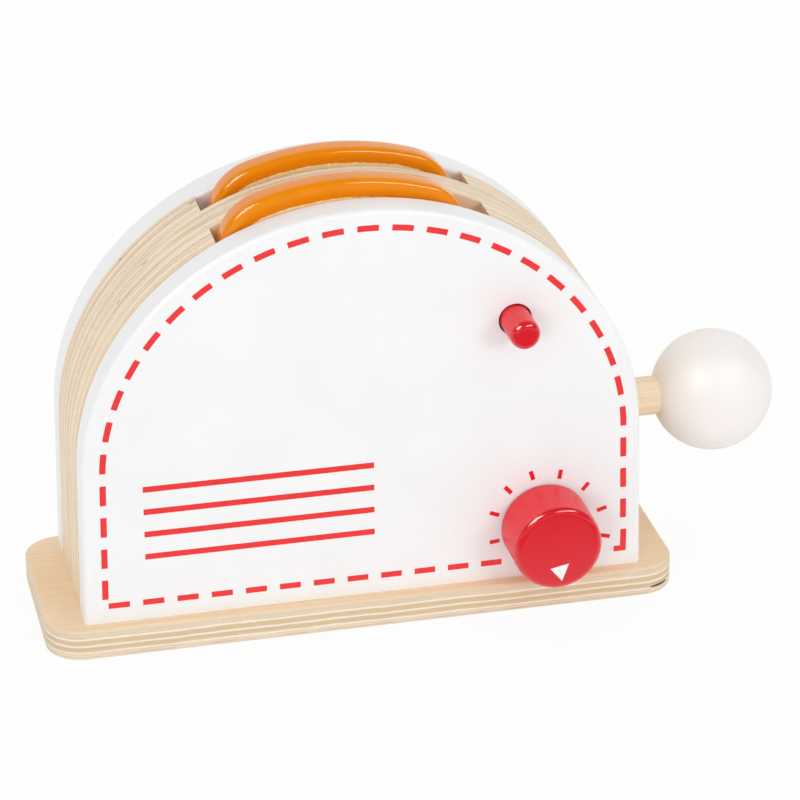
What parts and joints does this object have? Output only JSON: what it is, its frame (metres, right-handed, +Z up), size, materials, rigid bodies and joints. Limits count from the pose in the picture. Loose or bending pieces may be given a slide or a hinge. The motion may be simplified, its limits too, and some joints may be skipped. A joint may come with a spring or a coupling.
{
  "type": "toy toaster",
  "caption": "Wooden pop-up toy toaster: laminated D-shaped body on a plywood board, lift-out toast slices, sprung ball lever, push button and turning dial.",
  "frame": {"origin": "centre of the base board's underside", "axes": "+X towards the lever ball, +Y to the rear panel, +Z up"},
  "size_m": [0.2462, 0.0822, 0.1474],
  "materials": {
    "plywood": "bare plywood under a thin clear lacquer, plies showing on every edge",
    "white_lacquer": "satin white lacquer on wood, red screen print on the front panel",
    "beech": "bare turned beech",
    "ball_lacquer": "satin white lacquer on turned wood",
    "red_lacquer": "gloss red lacquer on turned wood",
    "toast": "gloss orange-brown lacquered crust with a pale yellow crumb printed on both faces",
    "zinc_steel": "bright zinc plated steel",
    "spring_steel": "drawn spring wire",
    "felt": "pressed grey felt"
  },
  "bodies": {
    "body": {"base_board": "plywood", "front_panel": "white_lacquer", "front_slot_layer": "plywood", "divider_board": "plywood", "rear_slot_layer": "plywood", "rear_panel": "white_lacquer", "lamination_dowels": "beech", "base_screws": "zinc_steel", "guide_rods": "zinc_steel", "lift_spring_left": "spring_steel", "lift_spring_right": "spring_steel", "button_spring": "spring_steel"},
    "lift": {"lever_rod": "beech", "lever_ball": "ball_lacquer", "lift_pegs": "beech"},
    "front_slice": {"toast_front": "toast"},
    "rear_slice": {"toast_rear": "toast"},
    "button": {"push_button": "red_lacquer", "button_clip": "zinc_steel"},
    "dial": {"dial_knob": "red_lacquer", "knob_felt": "felt", "knob_axle": "beech", "knob_washer": "zinc_steel", "knob_screw": "zinc_steel"}
  },
  "joints": [
    {"name": "lever_slide", "type": "slide", "parent": "body", "child": "lift", "axis": [0, 0, 1], "range_m": [-0.03, 0], "stiffness_N_per_m": 120, "springref_m": 0.03, "deforming": ["lift_spring_left", "lift_spring_right"]},
    {"name": "front_slice_lift", "type": "slide", "parent": "lift", "child": "front_slice", "axis": [0, 0, 1], "range_m": [0, 0.09]},
    {"name": "rear_slice_lift", "type": "slide", "parent": "lift", "child": "rear_slice", "axis": [0, 0, 1], "range_m": [0, 0.09]},
    {"name": "button_press", "type": "slide", "parent": "body", "child": "button", "axis": [0, 1, 0], "range_m": [0, 0.0045], "stiffness_N_per_m": 350, "springref_m": -0.003, "deforming": ["button_spring"]},
    {"name": "dial_turn", "type": "hinge", "parent": "body", "child": "dial", "pos_m": [0.0586, -0.0295, 0.02795], "axis": [0, 1, 0], "continuous": true}
  ]
}
